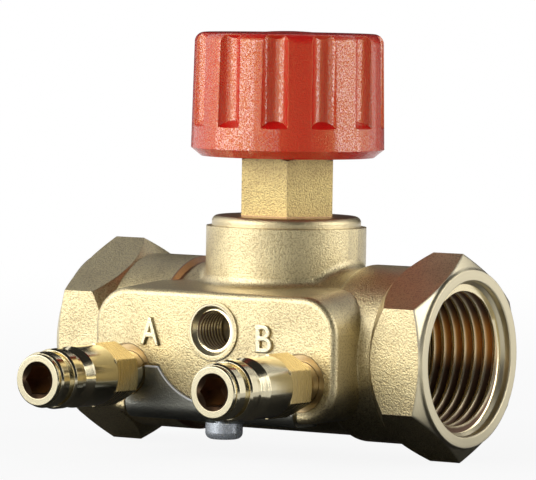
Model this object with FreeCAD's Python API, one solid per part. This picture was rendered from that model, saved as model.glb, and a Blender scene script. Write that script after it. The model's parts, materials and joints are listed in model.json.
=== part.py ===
import FreeCAD, Part
import math
import os

# Shut-off valve for a pipe with 3/4 inch thread, with two test nipples. Sizes are in millimetres.
# X runs along the pipe from side A to side B, Z up the spindle, and the nipples point to -Y.
# The origin is on the pipe axis where the thread of side A begins. The valve is drawn open.

V = FreeCAD.Vector
X_AXIS = V(1, 0, 0)
Y_AXIS = V(0, 1, 0)
Z_AXIS = V(0, 0, 1)
BIG = 200.0

# Pipe ends
end_to_end = 79.0
hex_flats = 32.2
hex_length = 8.0
hex_face_inset = 0.3
hex_collar = 0.6
hex_bevel_deg = 26.0
hex_back_slope = 1.1
pipe_thread_radius = 13.22
pipe_thread_length = 14.2
mouth_step = 0.6
mouth_depth = 1.23
mouth_bevel = 0.2

# Barrel between the hexagons
barrel_wall = 2.65
waist_step = 0.92
step_a_x = 17.7
step_a_length = 0.8
ramp_b_start = 17.5
ramp_b_length = 2.0
barrel_overlap = 0.2
seam_turn_deg = -140.0
waist_past_boss = 1.1

# Neck and the thread for the headpiece
neck_inset = 0.45
neck_top = 22.0
neck_wall = 3.5
casting_fillet = 1.7
neck_chamfer = 0.5
neck_seam_deg = 110.0
neck_flat_depth = 0.08

# Front boss
boss_half_width = 25.9
boss_top = 10.95
boss_bottom = -11.5
boss_face = 23.0
boss_top_corner = 7.1
boss_bottom_corner = 7.0
boss_edge = 1.2
boss_draft_deg = 4.0
boss_root = 8.0
port_z = 4.1
port_thread_radius = 3.86
port_depth = 8.0
port_bevel = 0.59
port_ring_wall = 0.9
port_ring_height = 0.35
nipple_x = 18.6
nipple_z = -4.2
spot_face_radius = 5.1
spot_face_depth = 0.35
drilling_radius = 1.4

# Flow passage inside the body
waist_wall = 2.55
web = 3.0
seat_deck_top = -2.0
seat_radius = 6.5
seat_lip_height = 0.8
seat_lip_width = 1.4
web_wall_x = 12.4
web_outer_round = 4.0
web_inner_round = 1.8

# Headpiece
thread_clearance = 0.03
flange_inset = 1.0
flange_height = 1.9
flange_round = 1.1
top_hex_flats = 16.4
top_hex_height = 10.9
top_hex_turn_deg = -56.0
top_hex_bevel = 1.2
lead_chamfer = 0.6
spindle_thread_radius = 5.5
gland_radius = 4.5
gland_length = 10.5
cone_pocket_gap = 1.4
cone_disc_gap = 1.25
cone_hub_gap = 0.75
flange_ring_section = 0.5
flange_ring_groove = 1.3

# Spindle, cone and seat washer
lift = 4.5
closed_gap = 0.05
running = 0.05
stop_gap = 0.3
washer_thickness = 2.2
washer_overhang = 0.3
cone_cup_wall = 1.0
cone_disc = 2.2
cone_skirt = 1.5
cone_chamfer = 0.5
cone_hub_radius = 5.0
cone_hub_height = 5.5
stud_radius = 2.0
stud_past_nut = 0.4
nut_flats = 6.6
nut_height = 1.6
tip_radius = 3.0
tip_floor = 1.2
tip_chamfer = 0.3
clip_wire = 0.4
clip_gap_deg = 60.0
clip_below_hub_top = 1.6
thread_foot = 0.25
ring_section = 0.8
ring_below_top = 4.8
ring_spacing = 2.8
shoulder_above_headpiece = 5.0
square_flats = 6.0
square_length = 8.7
tapping_spare = 1.0

# Knob
knob_radius = 17.47
knob_taper = 0.44
knob_height = 22.3
knob_over_headpiece = 0.2
knob_chamfer_height = 1.45
knob_chamfer_width = 1.8
knob_top_round = 1.8
knob_wall = 4.47
knob_cover = 2.5
knob_hub_wall = 1.4
knob_floor = 2.0
knob_recess_radius = 5.0
rib_count = 6
rib_width = 1.4
rib_above_bottom = 7.2
flute_count = 12
flute_radius = 2.6
flute_depth = 1.85
flute_above_bottom = 5.3
flute_slope_deg = 38.0
flute_top_land = 0.9
flute_turn_deg = -4.5
cap_overlap = 1.5
cap_plate = 1.2
cap_dome = 0.35
cap_chamfer = 0.3
cap_skirt = 1.0
cap_skirt_length = 2.2
cap_clearance = 0.08
knob_screw_radius = 2.0
knob_screw_length = 12.5
knob_screw_head_radius = 3.8
knob_screw_head = 2.4
knob_screw_round = 0.6
knob_screw_gap = 0.25
knob_screw_drive = 2.5
knob_screw_drive_depth = 1.4

# Nipples, from the boss face outwards
nipple_hex_start = 3.4
nipple_hex_length = 6.8
nipple_hex_flats = 10.0
nipple_hex_turned = 5.7
nipple_hex_bevel = 0.6
nipple_bar_radius = 5.45
nipple_bar_length = 6.8
nipple_cone_length = 1.7
nipple_neck_radius = 4.6
nipple_neck_length = 1.0
ring_two_lead = 0.5
ring_two_radius = 5.35
ring_two_length = 2.5
ring_groove_radius = 4.4
ring_groove_length = 1.0
ring_one_radius = 4.95
ring_one_length = 2.4
collar_groove_radius = 4.3
collar_groove_length = 0.3
collar_radius = 4.6
collar_length = 0.6
collar_chamfer = 0.2
turned_edge = 0.35
socket_flats = 5.0
socket_depth = 7.0
socket_mouth_radius = 3.3
nipple_bore_radius = 2.3
valve_seat_inset = 2.3
passage_radius = 1.5
nose_chamfer = 0.5
seal_thickness = 0.8
seal_clearance = 0.2

# Self-closing plunger in each nipple
poppet_radius = 2.0
poppet_length = 2.8
poppet_spigot_radius = 1.25
poppet_spigot_length = 3.0
poppet_pin_radius = 1.0
poppet_pin_reach = 6.2
poppet_step_radius = 1.1
poppet_ring_section = 0.35
poppet_ring_gap = 0.06
spring_wire = 0.22
spring_turns = 6.0
spring_end_gap = 0.05
stop_length = 1.4
stop_hole_radius = 1.1

# Cover plate and its screw
plate_side_gap = 0.9
plate_shift = -0.8
plate_thickness = 0.8
plate_top = -2.8
plate_arc_radius = 13.0
plate_clearance = 0.05
plate_edge_gap = 0.3
plate_end_gap = 0.95
plate_corner = 1.8
plate_back = 13.0
plate_back_corner = 3.0
plate_nipple_gap = 0.25
plate_screw_inset = 4.0
plate_screw_radius = 2.0
plate_screw_length = 6.5
plate_screw_gap = 0.3
plate_screw_head_radius = 3.35
plate_screw_head = 3.0
plate_screw_round = 1.2
cross_width = 0.9
cross_length = 3.6
cross_depth = 1.3

# Radii and places along the pipe, worked out from the sizes above
hex_corner = hex_flats / 2 / math.cos(math.pi / 6)
mouth_radius = pipe_thread_radius + mouth_step
barrel_radius = pipe_thread_radius + barrel_wall
waist_radius = barrel_radius - waist_step
chamber_radius = waist_radius - waist_wall
neck_radius = waist_radius - neck_inset
neck_bore_radius = neck_radius - neck_wall
thread_start = mouth_depth + mouth_step
half_length = end_to_end / 2
mid = half_length - thread_start
barrel_end = half_length - hex_length - (hex_corner - barrel_radius) * hex_back_slope + barrel_overlap
chamber_end = half_length - thread_start - pipe_thread_length

# Places up the spindle
seat_top = seat_deck_top + seat_lip_height
washer_radius = seat_radius + seat_lip_width + washer_overhang
cone_radius = washer_radius + cone_cup_wall
washer_z = seat_top + closed_gap + lift
washer_top = washer_z + washer_thickness
disc_top = washer_top + cone_disc
hub_top = disc_top + cone_hub_height
clip_z = hub_top - clip_below_hub_top
headpiece_foot = disc_top + cone_disc_gap
spindle_thread_start = hub_top + cone_hub_gap
headpiece_flange_top = neck_top + flange_height
headpiece_top = headpiece_flange_top + top_hex_height
spindle_thread_end = headpiece_top - gland_length
ring_lower_z = headpiece_top - ring_below_top
shoulder_z = headpiece_top + shoulder_above_headpiece
knob_socket_depth = square_length + stop_gap
knob_screw_seat = shoulder_z + knob_socket_depth + knob_floor
knob_bottom = headpiece_top - knob_over_headpiece
knob_top = knob_bottom + knob_height
cap_radius = knob_recess_radius + cap_overlap

# Places along a nipple and round the cover plate
nipple_hex_end = nipple_hex_start + nipple_hex_length
nipple_cone_start = nipple_hex_end + nipple_bar_length
nipple_cone_end = nipple_cone_start + nipple_cone_length
nipple_neck_end = nipple_cone_end + nipple_neck_length
ring_two_start = nipple_neck_end + ring_two_lead
ring_two_end = ring_two_start + ring_two_length
ring_one_start = ring_two_end + ring_groove_length
ring_one_end = ring_one_start + ring_one_length
collar_start = ring_one_end + collar_groove_length
nipple_length = collar_start + collar_length
valve_seat_station = nipple_hex_end + valve_seat_inset
plate_half_width = boss_half_width - boss_bottom_corner - plate_side_gap
plate_left = mid + plate_shift - plate_half_width
plate_screw_y = boss_face - plate_screw_inset
recess_floor = boss_face - plate_thickness - plate_clearance
plate_underside = boss_bottom - plate_clearance - plate_thickness


# Solids from profiles

def polygon_face(points):
    return Part.Face(Part.makePolygon(points + [points[0]]))


def turned(profile, origin=V(mid, 0, 0)):
    """A turned piece about Z: the profile is a list of (radius, height) points."""
    face = polygon_face([V(r, 0, z) for r, z in profile])
    solid = face.revolve(V(0, 0, 0), Z_AXIS, 360)
    solid.translate(origin)
    return solid


def rod(radius, z0, z1, origin=V(mid, 0, 0)):
    return Part.makeCylinder(radius, z1 - z0, origin + V(0, 0, z0))


def tube(outer, inner, z0, z1, origin=V(mid, 0, 0)):
    return rod(outer, z0, z1, origin).cut(rod(inner, z0, z1, origin))


def hexagon(flats, z0, z1, corner_deg, origin=V(mid, 0, 0)):
    radius = flats / 2 / math.cos(math.pi / 6)
    turns = [math.radians(corner_deg + 60 * i) for i in range(6)]
    face = polygon_face([V(radius * math.cos(t), radius * math.sin(t), z0) for t in turns])
    solid = face.extrude(V(0, 0, z1 - z0))
    solid.translate(origin)
    return solid


def ring(major, section, z, origin=V(mid, 0, 0)):
    return Part.makeTorus(major, section, origin + V(0, 0, z))


def fuse_all(solids):
    return solids[0].multiFuse(solids[1:]).removeSplitter()


def facing_front(shape, x, z):
    """Turn a piece built up Z from the origin so that it points to -Y out of the boss face."""
    out = shape.copy()
    out.rotate(V(0, 0, 0), X_AXIS, 90)
    out.translate(V(mid + x, -boss_face, z))
    return out


def is_cylinder(face, radius):
    surface = face.Surface
    return isinstance(surface, Part.Cylinder) and abs(surface.Radius - radius) < 1e-6


def shared_edges(faces, keep):
    """The edges of the given faces that pass the test keep(edge)."""
    found = []
    for face in faces:
        found += [edge for edge in face.Edges if keep(edge)]
    return found


# Valve body

def along_pipe(shape):
    """Lay a piece built up Z from the origin into the pipe axis, starting at side A's end face."""
    out = shape.copy()
    out.rotate(V(0, 0, 0), Y_AXIS, 90)
    out.translate(V(-thread_start, 0, 0))
    return out


def pipe_hexagon():
    """The hexagon of side A: a low round collar at its face, then bevels before and behind."""
    over = hex_corner + 1.0
    half_flats = hex_flats / 2
    bevel = math.tan(math.radians(hex_bevel_deg))
    back = hex_length + (hex_corner - waist_radius) * hex_back_slope
    profile = [
        (0, 0), (half_flats - hex_face_inset, 0), (half_flats, hex_collar),
        (over, hex_collar + (over - half_flats) * bevel),
        (over, hex_length - (over - hex_corner) * hex_back_slope), (waist_radius, back), (0, back),
    ]
    solid = hexagon(hex_flats, 0, back, 0, V(0, 0, 0)).common(turned(profile, V(0, 0, 0)))
    return along_pipe(solid)


def seam_behind(shape):
    """Turn a solid about the pipe so that the seam of its round faces lies behind and low."""
    out = shape.copy()
    out.rotate(V(mid, 0, 0), X_AXIS, seam_turn_deg)
    return out


def barrel_a():
    """Barrel of side A: it ends in a short step down to the waist."""
    inside = waist_radius - barrel_overlap
    foot = -step_a_x + step_a_length
    face = polygon_face([
        V(-barrel_end, 0, 0), V(-barrel_end, 0, barrel_radius), V(-step_a_x, 0, barrel_radius),
        V(foot, 0, inside), V(foot, 0, 0),
    ])
    solid = face.revolve(V(0, 0, 0), X_AXIS, 360)
    solid.translate(V(mid, 0, 0))
    return seam_behind(solid)


def barrel_b():
    """Barrel of side B: it ends in a rounded ramp down to the waist."""
    height = waist_step + barrel_overlap
    bend = (ramp_b_length ** 2 + height ** 2) / (2 * height)
    half = math.asin(ramp_b_length / bend) / 2
    ramp_end = ramp_b_start + ramp_b_length
    low = V(ramp_b_start, 0, barrel_radius - height)
    high = V(ramp_end, 0, barrel_radius)
    middle = V(ramp_end - bend * math.sin(half), 0, barrel_radius - bend * (1 - math.cos(half)))
    rest = Part.makePolygon([high, V(barrel_end, 0, barrel_radius), V(barrel_end, 0, 0),
                             V(ramp_b_start, 0, 0), low])
    outline = Part.Wire([Part.Arc(low, middle, high).toShape()] + rest.Edges)
    solid = Part.Face(outline).revolve(V(0, 0, 0), X_AXIS, 360)
    solid.translate(V(mid, 0, 0))
    return seam_behind(solid)


def cast_core():
    """Waist, neck and boss in one, with the casting's fillets where they meet."""
    half = boss_half_width + waist_past_boss
    waist = Part.makeCylinder(waist_radius, 2 * half, V(mid - half, 0, 0), X_AXIS)
    waist.rotate(V(mid, 0, 0), X_AXIS, 2 * seam_turn_deg)
    neck = rod(neck_radius, 0, neck_top)
    neck.rotate(V(mid, 0, 0), Z_AXIS, neck_seam_deg)
    core = fuse_all([waist, boss(), neck])
    neck_faces = [f for f in core.Faces if is_cylinder(f, neck_radius)]
    waist_faces = [f for f in core.Faces if is_cylinder(f, waist_radius)]
    roots = shared_edges(neck_faces, lambda e: e.BoundBox.ZMax < neck_top - 1.0
                         and not isinstance(e.Curve, Part.Line))
    roots += shared_edges(waist_faces, lambda e: e.CenterOfMass.y < -boss_root / 2
                          and isinstance(e.Curve, Part.Line))
    return core.makeFillet(casting_fillet, roots)


def trimmed_flats():
    """What the trimming of the forging's flash takes off the neck at its two sides."""
    foot = waist_radius + casting_fillet
    near = mid + neck_radius - neck_flat_depth
    right = Part.makeBox(1.0, 2 * neck_radius, neck_top - foot + 1.0, V(near, -neck_radius, foot))
    return [right, other_side(right)]


def boss():
    """The front pad: rounded corners, a front edge rounded all round and a top that rises behind."""
    left = mid - boss_half_width
    rise = (boss_face - boss_root) * math.tan(math.radians(boss_draft_deg))
    side = polygon_face([
        V(left, -boss_face, boss_bottom), V(left, -boss_face, boss_top),
        V(left, -boss_root, boss_top + rise), V(left, -boss_root, boss_bottom),
    ])
    solid = side.extrude(V(2 * boss_half_width, 0, 0))
    upright = [e for e in solid.Edges if abs(e.tangentAt(e.FirstParameter).y) > 0.9]
    upper = [e for e in upright if e.CenterOfMass.z > 0]
    solid = solid.makeFillet(boss_top_corner, upper)
    lower = [e for e in solid.Edges if abs(e.CenterOfMass.z - boss_bottom) < 1e-6
             and abs(e.tangentAt(e.FirstParameter).y) > 0.9]
    solid = solid.makeFillet(boss_bottom_corner, lower)
    front = [e for e in solid.Edges if abs(e.BoundBox.YMin + boss_face) < 1e-6
             and e.BoundBox.YLength < 1e-6]
    return solid.makeFillet(boss_edge, front)


def plate_recess():
    """The room for the cover plate: it follows the plate's bend and stops at an arc round the port."""
    top = plate_top + plate_edge_gap
    front = boss_face + 1.0
    bend_y = recess_floor - plate_corner
    bend_z = boss_bottom + plate_corner
    turn = math.sqrt(0.5) * plate_corner
    bend = Part.Arc(V(0, -recess_floor, bend_z), V(0, -bend_y - turn, bend_z - turn),
                    V(0, -bend_y, boss_bottom)).toShape()
    outline = Part.makePolygon([
        V(0, -bend_y, boss_bottom), V(0, -bend_y, boss_bottom - 1.0), V(0, -front, boss_bottom - 1.0),
        V(0, -front, top), V(0, -recess_floor, top), V(0, -recess_floor, bend_z),
    ])
    length = plate_edge_gap + 2 * plate_half_width + plate_end_gap
    solid = Part.Face(Part.Wire([bend] + outline.Edges)).extrude(V(length, 0, 0))
    solid.translate(V(plate_left - plate_edge_gap, 0, 0))
    keep = Part.makeCylinder(plate_arc_radius - plate_edge_gap, BIG,
                             V(mid + plate_shift, 0, port_z), V(0, -1, 0))
    return solid.cut(keep)


def flow_web():
    """The S-shaped wall across the passage that carries the seat."""
    deck_low = seat_deck_top - web
    a_out, a_in = -web_wall_x - web, -web_wall_x
    b_out, b_in = web_wall_x, web_wall_x - web
    reach = chamber_radius + 2.0
    outline = [
        V(a_out, -reach, reach), V(a_in, -reach, reach), V(a_in, -reach, seat_deck_top),
        V(b_out, -reach, seat_deck_top), V(b_out, -reach, -reach), V(b_in, -reach, -reach),
        V(b_in, -reach, deck_low), V(a_out, -reach, deck_low),
    ]
    solid = polygon_face(outline).extrude(V(0, 2 * reach, 0))
    corners = {
        (a_in, seat_deck_top): web_inner_round, (b_out, seat_deck_top): web_outer_round,
        (b_in, deck_low): web_inner_round, (a_out, deck_low): web_outer_round,
    }
    for (x, z), radius in corners.items():
        edge = [e for e in solid.Edges if abs(e.CenterOfMass.x - x) < 1e-6
                and abs(e.CenterOfMass.z - z) < 1e-6]
        solid = solid.makeFillet(radius, edge)
    lip = turned([
        (0, deck_low), (seat_radius + seat_lip_width + seat_lip_height, deck_low),
        (seat_radius + seat_lip_width + seat_lip_height, seat_deck_top),
        (seat_radius + seat_lip_width, seat_top), (0, seat_top),
    ], V(0, 0, 0))
    solid = solid.fuse(lip).cut(rod(seat_radius, -BIG, BIG, V(0, 0, 0)))
    solid.translate(V(mid, 0, 0))
    return solid


def pipe_bore():
    """The room inside side A: mouth with a small bevel, then the thread at its outer radius."""
    full_depth = thread_start + pipe_thread_length
    profile = [
        (0, -1.0), (mouth_radius + mouth_bevel, -1.0), (mouth_radius + mouth_bevel, 0),
        (mouth_radius, mouth_bevel), (mouth_radius, mouth_depth), (pipe_thread_radius, thread_start),
        (pipe_thread_radius, full_depth), (0, full_depth),
    ]
    return along_pipe(turned(profile, V(0, 0, 0)))


def other_side(shape):
    """The same shape turned round to side B."""
    out = shape.copy()
    out.rotate(V(mid, 0, 0), Z_AXIS, 180)
    return out


def valve_body():
    outer = fuse_all([cast_core(), barrel_a(), barrel_b(), pipe_hexagon(), other_side(pipe_hexagon())])
    chamber = Part.makeCylinder(chamber_radius, 2 * chamber_end, V(mid - chamber_end, 0, 0), X_AXIS)
    bevel_radius = port_thread_radius + port_bevel
    port_ring = tube(bevel_radius + port_ring_wall, bevel_radius, -1.0, port_ring_height, V(0, 0, 0))
    outer = outer.fuse(facing_front(port_ring, 0, port_z))
    cuts = [
        pipe_bore(), other_side(pipe_bore()), chamber.cut(flow_web()),
        rod(neck_bore_radius, headpiece_foot - 2.0, neck_top + 1.0),
        turned([(0, neck_top - neck_chamfer), (neck_bore_radius, neck_top - neck_chamfer),
                (neck_bore_radius + neck_chamfer, neck_top), (0, neck_top)]),
        plate_recess(),
        rod(plate_screw_radius, boss_bottom - 1.0, boss_bottom + plate_screw_length + 1.0,
            V(mid, -plate_screw_y, 0)),
    ]
    hole = rod(port_thread_radius, -port_depth, 1.0, V(0, 0, 0))
    drilling = rod(drilling_radius, -(boss_face - chamber_radius / 2), 0, V(0, 0, 0))
    spot = rod(spot_face_radius, -spot_face_depth, 1.0, V(0, 0, 0))
    bevel = turned([(0, -port_bevel), (port_thread_radius, -port_bevel), (bevel_radius, 0),
                    (bevel_radius, 1.0), (0, 1.0)], V(0, 0, 0))
    cuts += [facing_front(piece, 0, port_z) for piece in (hole, drilling, bevel)]
    for side in (-1, 1):
        cuts += [facing_front(piece, side * nipple_x, nipple_z) for piece in (hole, drilling, spot)]
    cuts += trimmed_flats()
    body = outer
    for piece in cuts:
        body = body.cut(piece)
    return body.removeSplitter()


# Headpiece, spindle and cone

def headpiece():
    """Flange and hexagon above, threaded foot below, and room inside for the spindle and the cone."""
    flange_radius = neck_radius - flange_inset
    cone_pocket_radius = cone_hub_radius + cone_pocket_gap
    foot_radius = neck_bore_radius - thread_clearance
    groove_radius = foot_radius - 2 * flange_ring_section
    groove_low = neck_top - flange_ring_groove
    lower = turned([
        (cone_pocket_radius, headpiece_foot), (foot_radius - lead_chamfer, headpiece_foot),
        (foot_radius, headpiece_foot + lead_chamfer), (foot_radius, groove_low),
        (groove_radius, groove_low), (groove_radius, neck_top),
        (flange_radius, neck_top), (flange_radius, headpiece_flange_top),
        (spindle_thread_radius, headpiece_flange_top), (spindle_thread_radius, spindle_thread_start),
        (cone_pocket_radius, spindle_thread_start),
    ])
    rim = [e for e in lower.Edges if abs(e.BoundBox.XLength - 2 * flange_radius) < 1e-6
           and abs(e.CenterOfMass.z - headpiece_flange_top) < 1e-6]
    lower = lower.makeFillet(flange_round, rim)
    low = headpiece_flange_top - flange_round
    corner = top_hex_flats / 2 / math.cos(math.pi / 6)
    bevelled = turned([
        (0, low), (corner + 1.0, low), (corner + 1.0, headpiece_top - top_hex_bevel),
        (top_hex_flats / 2 - tip_chamfer, headpiece_top), (0, headpiece_top),
    ])
    upper = hexagon(top_hex_flats, low, headpiece_top, top_hex_turn_deg).common(bevelled)
    solid = lower.fuse(upper)
    for hole in (rod(spindle_thread_radius, spindle_thread_start, spindle_thread_end),
                 rod(gland_radius + running, spindle_thread_start, headpiece_top + 1.0)):
        solid = solid.cut(hole)
    return solid.removeSplitter()


def headpiece_seal():
    return ring(neck_bore_radius - thread_clearance - flange_ring_section,
                flange_ring_section - thread_clearance, neck_top - flange_ring_groove / 2)


def spindle():
    """Turned spindle: tip in the cone, thread, two ring grooves, shoulder and the knob's square."""
    tip_end = disc_top + tip_floor
    thread_high = spindle_thread_end - stop_gap
    thread_low = hub_top + stop_gap + lead_chamfer + thread_foot
    clip_half = clip_wire + running
    clip_seat = tip_radius - clip_half
    ring_half = ring_section + 2 * running
    ring_seat = gland_radius - 2 * ring_section + running
    profile = [
        (0, tip_end), (tip_radius - tip_chamfer, tip_end), (tip_radius, tip_end + tip_chamfer),
        (tip_radius, clip_z - clip_half), (clip_seat, clip_z - clip_half),
        (clip_seat, clip_z + clip_half), (tip_radius, clip_z + clip_half),
        (tip_radius, hub_top + stop_gap), (gland_radius, hub_top + stop_gap),
        (gland_radius, thread_low - lead_chamfer), (spindle_thread_radius - running, thread_low),
        (spindle_thread_radius - running, thread_high), (gland_radius, thread_high),
    ]
    for z in (ring_lower_z, ring_lower_z + ring_spacing):
        profile += [(gland_radius, z - ring_half), (ring_seat, z - ring_half),
                    (ring_seat, z + ring_half), (gland_radius, z + ring_half)]
    profile += [(gland_radius, shoulder_z), (0, shoulder_z)]
    square = Part.makeBox(square_flats, square_flats, square_length,
                          V(mid - square_flats / 2, -square_flats / 2, shoulder_z))
    square = square.common(rod(gland_radius - tip_chamfer, shoulder_z, shoulder_z + square_length))
    tapping_floor = knob_screw_seat - knob_screw_length - tapping_spare
    tapping = rod(knob_screw_radius + thread_clearance, tapping_floor, shoulder_z + square_length)
    return turned(profile).fuse(square).cut(tapping).removeSplitter()


def spindle_ring(z):
    return ring(gland_radius - ring_section, ring_section - running, z)


def valve_cone():
    """Cup for the washer, stud below and hub above, with the snap ring's groove inside the hub."""
    cup_radius = washer_radius + running
    cup_low = washer_top - cone_skirt
    stud_end = washer_z - nut_height - stud_past_nut
    bore = tip_radius + running
    bore_low = disc_top + tip_floor - stop_gap
    groove = bore + clip_wire
    clip_half = clip_wire + running
    return turned([
        (0, stud_end), (stud_radius, stud_end), (stud_radius, washer_top), (cup_radius, washer_top),
        (cup_radius, cup_low), (cone_radius, cup_low),
        (cone_radius, disc_top - cone_chamfer), (cone_radius - cone_chamfer, disc_top),
        (cone_hub_radius, disc_top), (cone_hub_radius, hub_top), (bore, hub_top),
        (bore, clip_z + clip_half), (groove, clip_z + clip_half),
        (groove, clip_z - clip_half), (bore, clip_z - clip_half), (bore, bore_low), (0, bore_low),
    ])


def cone_washer():
    return tube(washer_radius, stud_radius + running, washer_z, washer_top)


def cone_nut():
    nut = hexagon(nut_flats, washer_z - nut_height, washer_z, 0)
    return nut.cut(rod(stud_radius + thread_clearance, washer_z - nut_height, washer_z))


def cone_clip():
    """Open wire ring, half in the hub's groove and half in the spindle's."""
    circle = Part.makeCircle(clip_wire, V(tip_radius + running / 2, 0, clip_z), Y_AXIS)
    wire = Part.Face(Part.Wire(circle)).revolve(V(0, 0, 0), Z_AXIS, 360 - clip_gap_deg)
    wire.translate(V(mid, 0, 0))
    return wire


# Knob

def knob_blank():
    top_radius = knob_radius - knob_taper
    solid = turned([
        (0, knob_bottom), (knob_radius - knob_chamfer_width, knob_bottom),
        (knob_radius, knob_bottom + knob_chamfer_height), (top_radius, knob_top), (0, knob_top),
    ])
    rim = [e for e in solid.Edges
           if abs(e.CenterOfMass.z - knob_top) < 1e-6 and e.BoundBox.XLength > knob_radius]
    return solid.makeFillet(knob_top_round, rim)


def flute_cutter():
    """A round-bottomed groove whose lower end runs out on a slope and whose upper end stops short."""
    deep = knob_radius - flute_depth
    centre = deep + flute_radius
    inner = deep - flute_radius / 4
    outer = centre + flute_radius
    slope = math.tan(math.radians(flute_slope_deg))
    low = knob_bottom + flute_above_bottom
    top = knob_top - flute_top_land
    side = polygon_face([
        V(inner, -flute_radius, low + (knob_radius - inner) * slope),
        V(outer, -flute_radius, low - (outer - knob_radius) * slope),
        V(outer, -flute_radius, top + outer - deep), V(inner, -flute_radius, top + inner - deep),
    ])
    groove = rod(flute_radius, knob_bottom, knob_top + knob_height, V(centre, 0, 0))
    return groove.common(side.extrude(V(0, 2 * flute_radius, 0)))


def knob():
    solid = knob_blank()
    cutter = flute_cutter()
    cutters = []
    for i in range(flute_count):
        piece = cutter.copy()
        piece.rotate(V(0, 0, 0), Z_AXIS, flute_turn_deg + 360.0 / flute_count * i)
        piece.translate(V(mid, 0, 0))
        cutters.append(piece)
    solid = solid.cut(cutters)
    inner = knob_radius - knob_wall
    hub = knob_recess_radius + knob_hub_wall
    ceiling = knob_top - knob_cover
    rib_low = knob_bottom + rib_above_bottom
    hollow = tube(inner, hub, knob_bottom, ceiling).fuse(rod(hub, knob_bottom, shoulder_z))
    ribs = []
    for i in range(rib_count):
        corner = V(hub - rib_width, -rib_width / 2, rib_low)
        rib = Part.makeBox(inner, rib_width, ceiling - rib_low, corner)
        rib.rotate(V(0, 0, 0), Z_AXIS, 360.0 / rib_count * i)
        rib.translate(V(mid, 0, 0))
        ribs.append(rib)
    solid = solid.cut(hollow.cut(ribs))
    side = square_flats + 2 * running
    socket = Part.makeBox(side, side, knob_socket_depth, V(mid - side / 2, -side / 2, shoulder_z))
    for piece in (socket, rod(knob_screw_radius + knob_screw_gap, shoulder_z, knob_top),
                  rod(knob_recess_radius, knob_screw_seat, knob_top),
                  rod(cap_radius + cap_clearance, knob_top - cap_plate, knob_top + 1.0)):
        solid = solid.cut(piece)
    return solid.removeSplitter()


def knob_screw():
    """Socket head screw that pulls the knob onto the spindle's shoulder."""
    top = knob_screw_seat + knob_screw_head
    shank = rod(knob_screw_radius, knob_screw_seat - knob_screw_length, knob_screw_seat)
    head = rod(knob_screw_head_radius, knob_screw_seat, top)
    rim = [e for e in head.Edges if abs(e.BoundBox.ZMin - top) < 1e-6]
    head = head.makeFillet(knob_screw_round, rim)
    drive = hexagon(knob_screw_drive, top - knob_screw_drive_depth, top, 0)
    return shank.fuse(head).cut(drive).removeSplitter()


def knob_cap():
    """Push-in cap: a slightly domed disc with a skirt that grips the recess."""
    low = knob_top - cap_plate
    outer = knob_recess_radius - cap_clearance
    edge = cap_radius - cap_chamfer
    dome = (edge ** 2 + cap_dome ** 2) / (2 * cap_dome)
    half = math.asin(edge / dome) / 2
    arc_mid = V(dome * math.sin(half), 0, knob_top + cap_dome - dome * (1 - math.cos(half)))
    arc = Part.Arc(V(edge, 0, knob_top), arc_mid, V(0, 0, knob_top + cap_dome)).toShape()
    skirt_low = low - cap_skirt_length
    points = [
        V(0, 0, knob_top + cap_dome), V(0, 0, low), V(outer - cap_skirt, 0, low),
        V(outer - cap_skirt, 0, skirt_low), V(outer, 0, skirt_low), V(outer, 0, low),
        V(cap_radius, 0, low), V(cap_radius, 0, knob_top - cap_chamfer), V(edge, 0, knob_top),
    ]
    solid = Part.Face(Part.Wire(Part.makePolygon(points).Edges + [arc])).revolve(V(0, 0, 0), Z_AXIS, 360)
    solid.translate(V(mid, 0, 0))
    return solid


# Test nipples

def nipple():
    """One nipple pointing up Z, with station 0 at the boss face."""
    edge = turned_edge
    foot = -port_depth + seal_thickness
    thread = port_thread_radius - thread_clearance
    turned_part = turned([
        (0, foot), (thread - nose_chamfer, foot), (thread, foot + nose_chamfer),
        (thread, nipple_hex_end), (nipple_bar_radius, nipple_hex_end),
        (nipple_bar_radius, nipple_cone_start),
        (nipple_neck_radius, nipple_cone_end), (nipple_neck_radius, nipple_neck_end),
        (ring_two_radius - edge, ring_two_start), (ring_two_radius, ring_two_start + edge),
        (ring_two_radius, ring_two_end - edge), (ring_two_radius - edge, ring_two_end),
        (ring_groove_radius, ring_two_end), (ring_groove_radius, ring_one_start),
        (ring_one_radius - edge, ring_one_start), (ring_one_radius, ring_one_start + edge),
        (ring_one_radius, ring_one_end - edge), (ring_one_radius - edge, ring_one_end),
        (collar_groove_radius, ring_one_end), (collar_groove_radius, collar_start),
        (collar_radius, collar_start), (collar_radius, nipple_length - collar_chamfer),
        (collar_radius - collar_chamfer, nipple_length), (0, nipple_length),
    ], V(0, 0, 0))
    blank = turned([
        (0, nipple_hex_start), (nipple_hex_flats / 2 - collar_chamfer, nipple_hex_start),
        (nipple_hex_turned, nipple_hex_start + nipple_hex_bevel), (nipple_hex_turned, nipple_hex_end),
        (0, nipple_hex_end),
    ], V(0, 0, 0))
    hex_part = hexagon(nipple_hex_flats, nipple_hex_start, nipple_hex_end, 90, V(0, 0, 0)).common(blank)
    solid = turned_part.fuse(hex_part).removeSplitter()
    socket_floor = nipple_length - socket_depth
    socket = hexagon(socket_flats, socket_floor, nipple_length + 1.0, 0, V(0, 0, 0))
    mouth = turned([(0, nipple_length - socket_mouth_radius), (socket_mouth_radius, nipple_length),
                    (0, nipple_length)], V(0, 0, 0))
    bore = turned([
        (0, foot), (nipple_bore_radius, foot), (nipple_bore_radius, valve_seat_station),
        (passage_radius, valve_seat_station + nipple_bore_radius - passage_radius),
        (passage_radius, socket_floor), (0, socket_floor),
    ], V(0, 0, 0))
    for piece in (socket, mouth, bore):
        solid = solid.cut(piece)
    return solid


def nipple_seal():
    outer = port_thread_radius - seal_clearance
    return tube(outer, drilling_radius, -port_depth, -port_depth + seal_thickness, V(0, 0, 0))


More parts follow.
